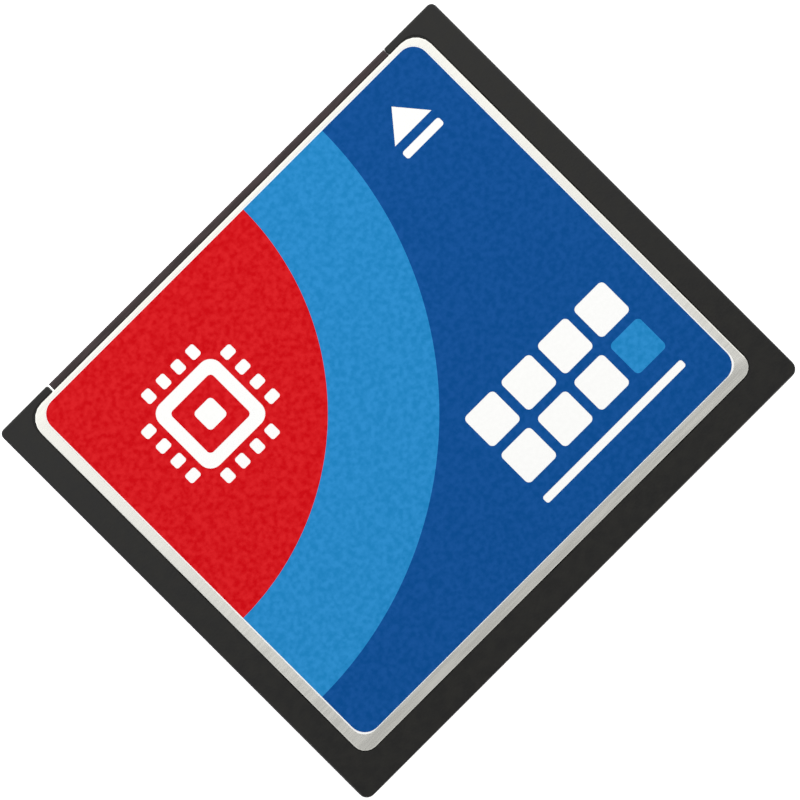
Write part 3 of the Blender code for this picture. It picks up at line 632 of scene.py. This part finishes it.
def arc(centre, radius, start, end, steps=ARC_STEPS):
    """Points along an arc, from one angle in degrees to another."""
    angles = [math.radians(start + (end - start) * step / steps) for step in range(steps + 1)]
    return [(centre[0] + radius * math.cos(a), centre[1] + radius * math.sin(a)) for a in angles]


def rounded_box(low, high, rear, front=None):
    """The outline of a rectangle with round corners, whose front pair may have a radius of its own."""
    front = rear if front is None else front
    corners = (
        (high[0] - front, high[1] - front, front, 0),
        (low[0] + front, high[1] - front, front, 90),
        (low[0] + rear, low[1] + rear, rear, 180),
        (high[0] - rear, low[1] + rear, rear, 270),
    )
    points = []
    for x, y, radius, start in corners:
        points += arc((x, y), radius, start, start + 90, CORNER_STEPS)
    return points


def plate(name, outlines, bottom, thickness, material):
    """A flat plate filled between its outlines, so that an outline inside another makes a hole."""
    curve = bpy.data.curves.new(name, "CURVE")
    curve.dimensions = "2D"
    curve.fill_mode = "BOTH"
    curve.extrude = thickness / 2
    for outline in outlines:
        spline = curve.splines.new("POLY")
        spline.points.add(len(outline) - 1)
        for point, (x, y) in zip(spline.points, outline):
            point.co = (x, y, 0, 1)
        spline.use_cyclic_u = True
    drawn = bpy.data.objects.new(name + "_outline", curve)
    bpy.context.scene.collection.objects.link(drawn)
    bpy.context.view_layer.update()
    mesh = bpy.data.meshes.new_from_object(drawn.evaluated_get(bpy.context.evaluated_depsgraph_get()))
    bpy.data.objects.remove(drawn, do_unlink=True)
    bpy.data.curves.remove(curve)
    shape = bmesh.new()
    shape.from_mesh(mesh)
    bmesh.ops.remove_doubles(shape, verts=shape.verts, dist=WELD_DISTANCE)
    bmesh.ops.translate(shape, verts=shape.verts, vec=(0, 0, bottom + thickness / 2))
    shape.to_mesh(mesh)
    shape.free()
    mesh.name = name
    mesh.materials.clear()
    mesh.materials.append(material)
    piece = bpy.data.objects.new(name, mesh)
    bpy.context.scene.collection.objects.link(piece)
    return piece


def keep_on_label(piece):
    """Lets a piece of the label move with the card, under the card's root body."""
    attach(piece, BODY)


def chip_sign(centre, side):
    """A chip seen from above: a ring, its die, and pins on each side."""
    x, y = centre
    bar = side * 0.11
    outer = side * 0.34
    inner = outer - bar
    die = side * 0.1
    outlines = [
        rounded_box((x - half, y - half), (x + half, y + half), corner)
        for half, corner in ((outer, bar), (inner, bar / 3), (die, bar / 3))
    ]
    pin = side * 0.045
    pitch = side * 0.165
    near = outer + bar * 0.45
    far = side / 2
    for step in range(PINS_A_SIDE):
        along = (step - (PINS_A_SIDE - 1) / 2) * pitch
        for hand in (-1, 1):
            low, high = sorted((hand * near, hand * far))
            outlines.append(rounded_box((x + low, y + along - pin), (x + high, y + along + pin), pin / 2))
            outlines.append(rounded_box((x + along - pin, y + low), (x + along + pin, y + high), pin / 2))
    return outlines


def arrow_sign(centre, width):
    """A broad arrow head over a short bar, pointing to the connector."""
    x, y = centre
    half = width / 2
    height = width * 0.6
    gap = width * 0.18
    head = [(x - half, y), (x + half, y), (x, y + height)]
    bar = rounded_box((x - half, y - 2 * gap), (x + half, y - gap), gap / 3)
    return [head, bar]


def red_outlines(sizes, area):
    """The quarter disc in the print's upper left corner, with the chip sign left bare in it."""
    disc = arc((area.left, area.top), sizes.disc, 0, -90)
    disc += arc((area.left + area.front, area.top - area.front), area.front, 180, 90, CORNER_STEPS)
    reach = sizes.disc * SIGN_REACH
    return [disc, *chip_sign((area.left + reach, area.top - reach), sizes.chip_sign)]


def ring_outline(sizes, area):
    """The ring round the disc."""
    corner = (area.left, area.top)
    return arc(corner, sizes.disc + sizes.ring, 0, -90) + arc(corner, sizes.disc, -90, 0)


def cell_outlines(sizes, area):
    """The memory cells, in rows that start at the right, from the lowest row up."""
    step = sizes.cell + sizes.cell_gap
    right = area.right - sizes.margin
    bottom = area.bottom + sizes.margin + 2 * sizes.rule + sizes.cell_gap
    outlines = []
    for row in range(sizes.cells_down):
        for column in range(sizes.cells_across):
            x, y = right - sizes.cell - column * step, bottom + row * step
            outlines.append(rounded_box((x, y), (x + sizes.cell, y + sizes.cell), sizes.cell / 8))
    return outlines


def rule_outline(sizes, area):
    """The rule, which is as long as a row of cells."""
    right = area.right - sizes.margin
    left = right - sizes.cell - (sizes.cells_across - 1) * (sizes.cell + sizes.cell_gap)
    bottom = area.bottom + sizes.margin
    return rounded_box((left, bottom), (right, bottom + sizes.rule), sizes.rule / 3)


def field_outline(sizes, area):
    """What the ring leaves of the print."""
    field = arc((area.left, area.top), sizes.disc + sizes.ring, -90, 0)
    field += arc((area.right - area.front, area.top - area.front), area.front, 90, 0, CORNER_STEPS)
    field += arc((area.right - area.rear, area.bottom + area.rear), area.rear, 0, -90, CORNER_STEPS)
    field += arc((area.left + area.rear, area.bottom + area.rear), area.rear, -90, -180, CORNER_STEPS)
    return field


class CARD_OT_frame_halves(Operator):
    """Gives the two moulded frame halves their plastic and their rounded edges"""

    bl_idname = "card.frame_halves"
    bl_label = "Frame halves"

    def execute(self, context):
        finish = context.scene.card_finish
        plastic = black_pbt(finish.black)
        smoothing = smoothing_group(SMOOTH_MOULDED)
        level = level_normals(LEVEL_FLAT)
        for node in ("top_frame", "bottom_frame"):
            soften(dress(node, plastic), finish.edge, smoothing, level)
        return {"FINISHED"}


class CARD_OT_cover_plates(Operator):
    """Gives the two steel covers their rolled finish and rounded edges, and the upper one its crown"""

    bl_idname = "card.cover_plates"
    bl_label = "Cover plates"

    def execute(self, context):
        finish = context.scene.card_finish
        steel = satin_stainless(finish.steel)
        smoothing = smoothing_group(SMOOTH_SHEET)
        low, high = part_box("top_cover_plate")
        corner = Vector((finish.cover_corner, finish.cover_corner, 0))
        crowned = level_normals(LEVEL_SLOPING, finish.crown, low + corner, high - corner)
        soften(dress("top_cover_plate", steel), finish.edge, smoothing, crowned)
        soften(dress("bottom_cover_plate", steel), finish.edge, smoothing, level_normals(LEVEL_FLAT))
        return {"FINISHED"}


class CARD_OT_label(Operator):
    """Makes the label: a white film with fields of ink, and signs left bare in them"""

    bl_idname = "card.label"
    bl_label = "Printed label"

    def execute(self, context):
        sizes = context.scene.card_label
        low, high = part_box("front_label")
        over = Vector((sizes.overlap, sizes.overlap, 0))
        low, high = low - over, high + over
        if sizes.disc + sizes.ring > min(high.x - low.x, high.y - low.y):
            raise ValueError("the disc and its ring are larger than the label")
        film_top = high.z - sizes.ink
        outline = rounded_box(low, high, sizes.rear_corner, sizes.front_corner)
        film = plate("label_film", [outline], low.z, film_top - low.z, white_film(sizes.film))
        keep_on_label(film)
        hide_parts("front_label")

        area = PrintArea(
            left=low.x + sizes.border,
            bottom=low.y + sizes.rear_border,
            right=high.x - sizes.border,
            top=high.y - sizes.border,
            front=sizes.front_corner - sizes.border,
            rear=sizes.ink_rear_corner,
        )
        for hue, outlines, colour, through in self.fields(sizes, area):
            ink = printed_ink(f"ink_offset_{hue}", colour, sizes.mottle, through)
            keep_on_label(plate(f"label_{hue}_ink", outlines, film_top, sizes.ink, ink))
        return {"FINISHED"}

    def fields(self, sizes, area):
        """Each ink's name, outlines, colour, and how much film it lets through."""
        cells = cell_outlines(sizes, area)
        inset = sizes.margin + sizes.arrow / 2
        arrow = arrow_sign((area.right - inset, area.top - inset), sizes.arrow)
        dark = [field_outline(sizes, area), *cells, rule_outline(sizes, area), *arrow]
        return (
            ("red", red_outlines(sizes, area), sizes.red, sizes.through),
            ("light_blue", [ring_outline(sizes, area), cells[0]], sizes.light_blue, sizes.through),
            ("dark_blue", dark, sizes.dark_blue, sizes.through_dark),
        )


class CARD_OT_connector(Operator):
    """Gives the connector housing its plastic and the fifty contacts their plating"""

    bl_idname = "card.connector"
    bl_label = "Connector"

    def execute(self, context):
        finish = context.scene.card_finish
        smoothing = smoothing_group(SMOOTH_SMALL)
        plastic = connector_lcp(finish.housing)
        soften(dress("connector_housing", plastic), finish.small_edge, smoothing)
        gold = gold_plated_bronze(finish.gold)
        for node in sorted(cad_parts):
            if node.startswith("contact_"):
                soften(dress(node, gold), finish.small_edge, smoothing)
        return {"FINISHED"}


class CARD_OT_board(Operator):
    """Gives the circuit board and the parts on it their finishes"""

    bl_idname = "card.board"
    bl_label = "Circuit board"

    def execute(self, context):
        finish = context.scene.card_finish
        dress("circuit_board", masked_laminate(finish.solder_mask, finish.ceramic, finish.tin))
        chips = (
            ("flash_memory_chip", "epoxy_moulded_memory", (MEMORY_LEAD_REACH, 0)),
            ("controller_chip", "epoxy_moulded_controller", (CONTROLLER_LEAD_REACH, CONTROLLER_LEAD_REACH)),
        )
        for node, name, reach in chips:
            dress(node, chip_package(name, node, reach, finish.epoxy, finish.tin))
        dress("supply_capacitor", capacitor_package(finish.capacitor, finish.tin))
        return {"FINISHED"}


class CARD_OT_stage(Operator):
    """Lays the floor, lights the card and sets the camera at the photograph's angle"""

    bl_idname = "card.stage"
    bl_label = "Stage"

    def execute(self, context):
        sizes = context.scene.card_stage
        self.lay_floor(context, sizes)
        self.put_up_tent(context, sizes)
        self.hang_softbox(context, sizes)
        self.set_camera(context, sizes)
        return {"FINISHED"}

    def lay_floor(self, context, sizes):
        shape = bmesh.new()
        bmesh.ops.create_grid(shape, x_segments=1, y_segments=1, size=sizes.floor / 2)
        mesh = bpy.data.meshes.new("floor")
        shape.to_mesh(mesh)
        shape.free()
        mesh.materials.append(opal_acrylic(sizes.floor_colour, sizes.floor_glow))
        floor = bpy.data.objects.new("floor", mesh)
        context.scene.collection.objects.link(floor)
        floor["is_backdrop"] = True

    def put_up_tent(self, context, sizes):
        """White light from all round, brighter from the tent's foot than from its top."""
        world = bpy.data.worlds.new("light_tent")
        world.use_nodes = True
        context.scene.world = world
        tree = world.node_tree
        background = tree.nodes["Background"]
        background.inputs["Color"].default_value = (1, 1, 1, 1)
        way = add_node(tree, "ShaderNodeTexCoord").outputs["Generated"]
        height = add_node(tree, "ShaderNodeSeparateXYZ", {0: way}).outputs["Z"]
        change = {
            "Value": height,
            "From Min": TENT_FOOT_END,
            "From Max": TENT_TOP_START,
            "To Min": sizes.tent_foot,
            "To Max": sizes.tent,
        }
        add_node(tree, "ShaderNodeMapRange", change, {"Result": background.inputs["Strength"]})

    def hang_softbox(self, context, sizes):
        """A wide softbox over the connector's end, whose rear edge hangs over the card."""
        lamp = bpy.data.lights.new("softbox", "AREA")
        lamp.shape = "RECTANGLE"
        lamp.size = sizes.softbox_width
        lamp.size_y = sizes.softbox_depth
        # The power that gives a face of this area its brightness
        lamp.energy = sizes.softbox * math.pi * lamp.size * lamp.size_y
        softbox = bpy.data.objects.new("softbox", lamp)
        turn = Matrix.Rotation(sizes.softbox_turn, 4, "Z")
        place = Vector((0, sizes.softbox_depth / 2 - sizes.softbox_overlap, sizes.softbox_height))
        softbox.matrix_world = turn @ Matrix.Translation(place)
        softbox.visible_camera = False
        context.scene.collection.objects.link(softbox)

    def set_camera(self, context, sizes):
        """Looks straight down, with the card as large, and in the same place, as in the photograph."""
        card_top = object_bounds()[1].z
        turn = Matrix.Rotation(math.radians(CARD_TURN), 3, "Z")
        right, up = turn.col[0], turn.col[1]
        pixel = MM / PIXELS_A_MM
        aim = right * (PHOTO_SIDE / 2 - CARD_CENTRE_PIXEL[0]) * pixel
        aim += up * (CARD_CENTRE_PIXEL[1] - PHOTO_SIDE / 2) * pixel
        distance = PHOTO_SIDE * pixel * sizes.lens / sizes.sensor
        data = bpy.data.cameras.new("camera")
        data.lens = sizes.lens
        data.sensor_width = sizes.sensor
        data.clip_start = MM
        camera = bpy.data.objects.new("camera", data)
        camera.location = (aim.x, aim.y, card_top + distance)
        camera.rotation_euler = (0, 0, math.radians(CARD_TURN))
        context.scene.collection.objects.link(camera)
        context.scene.camera = camera
        context.scene.view_settings.view_transform = "Standard"


class CARD_PT_sidebar(Panel):
    """Lists the steps that dress the card, with their sizes and colours"""

    bl_idname = "CARD_PT_sidebar"
    bl_label = "Flash card"
    bl_space_type = "VIEW_3D"
    bl_region_type = "UI"
    bl_category = "Flash card"

    def draw(self, context):
        for step in STEPS:
            self.layout.operator(step.bl_idname)
        for group in (context.scene.card_label, context.scene.card_finish, context.scene.card_stage):
            box = self.layout.box()
            for name in group.__annotations__:
                box.prop(group, name)


STEPS = (
    CARD_OT_frame_halves,
    CARD_OT_cover_plates,
    CARD_OT_label,
    CARD_OT_connector,
    CARD_OT_board,
    CARD_OT_stage,
)
CLASSES = (LabelSizes, FinishSizes, StageSizes, *STEPS, CARD_PT_sidebar)


def register():
    for item in CLASSES:
        bpy.utils.register_class(item)
    bpy.types.Scene.card_label = PointerProperty(type=LabelSizes)
    bpy.types.Scene.card_finish = PointerProperty(type=FinishSizes)
    bpy.types.Scene.card_stage = PointerProperty(type=StageSizes)


def unregister():
    del bpy.types.Scene.card_stage
    del bpy.types.Scene.card_finish
    del bpy.types.Scene.card_label
    for item in reversed(CLASSES):
        bpy.utils.unregister_class(item)


def main():
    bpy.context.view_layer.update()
    register()
    bpy.ops.card.frame_halves()
    bpy.ops.card.cover_plates()
    bpy.ops.card.label()
    bpy.ops.card.connector()
    bpy.ops.card.board()
    bpy.ops.card.stage()


if __name__ == "__main__":
    main()
